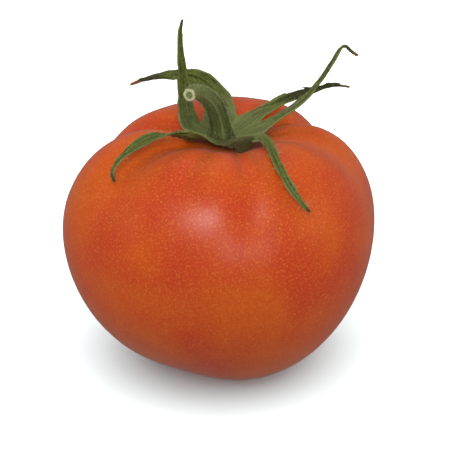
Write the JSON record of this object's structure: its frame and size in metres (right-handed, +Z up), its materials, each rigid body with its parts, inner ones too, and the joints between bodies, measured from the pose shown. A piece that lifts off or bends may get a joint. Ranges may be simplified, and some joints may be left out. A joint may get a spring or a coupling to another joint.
{
  "type": "tomato with calyx and stalk",
  "caption": "Ripe round tomato with shallow lobes, a green star-shaped calyx of long curling sepals and a short bent stalk, resting on a small flat spot.",
  "frame": {"origin": "middle of the flat spot that the tomato rests on", "axes": "+Z up, out of the resting surface and through the fruit to its calyx; +X to the right and -Y to the front, as the tomato is best seen"},
  "size_m": [0.0798, 0.08, 0.0918],
  "materials": {
    "skin": "waxy satin skin, orange-red, finely speckled with yellow",
    "leaf": "matte and finely hairy, with faint veins and dry brown tips",
    "stalk": "matte, ribbed and finely hairy, pale green where it is cut"
  },
  "bodies": {
    "root": {"fruit": "skin", "calyx_base": "leaf", "sepal_left": "leaf", "sepal_upright": "leaf", "sepal_back": "leaf", "sepal_back_right": "leaf", "sepal_right": "leaf", "sepal_front": "leaf", "stalk": "stalk"}
  },
  "joints": []
}
